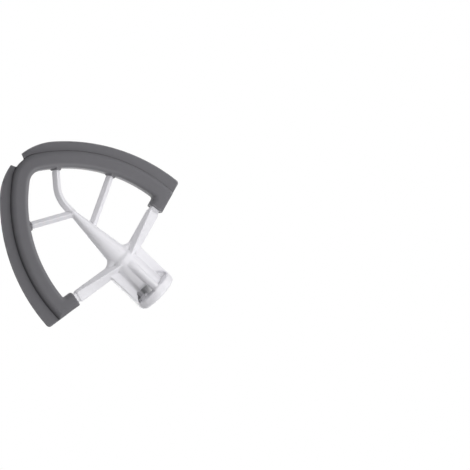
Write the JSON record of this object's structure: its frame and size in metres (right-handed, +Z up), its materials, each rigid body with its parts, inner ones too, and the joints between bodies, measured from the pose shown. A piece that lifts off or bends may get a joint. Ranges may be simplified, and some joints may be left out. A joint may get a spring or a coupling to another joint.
{
  "type": "stand mixer flat beater",
  "caption": "Flat mixing beater: a white-coated cast frame with a bayonet shaft hub, tapered spine, arms and struts, and a grey silicone edge with wiping fins moulded round its rim.",
  "frame": {"origin": "centre of the shaft bore's mouth, on top of the hub", "axes": "+Z up along the bore, the way the shaft leaves; X across the blade; the front of the blade faces -Y"},
  "size_m": [0.1432, 0.032, 0.1403],
  "materials": {
    "white_coating": "smooth satin coating on cast aluminium",
    "grey_silicone": "matte moulded silicone"
  },
  "bodies": {
    "root": {"cast_frame": "white_coating", "silicone_edge": "grey_silicone"}
  },
  "joints": []
}
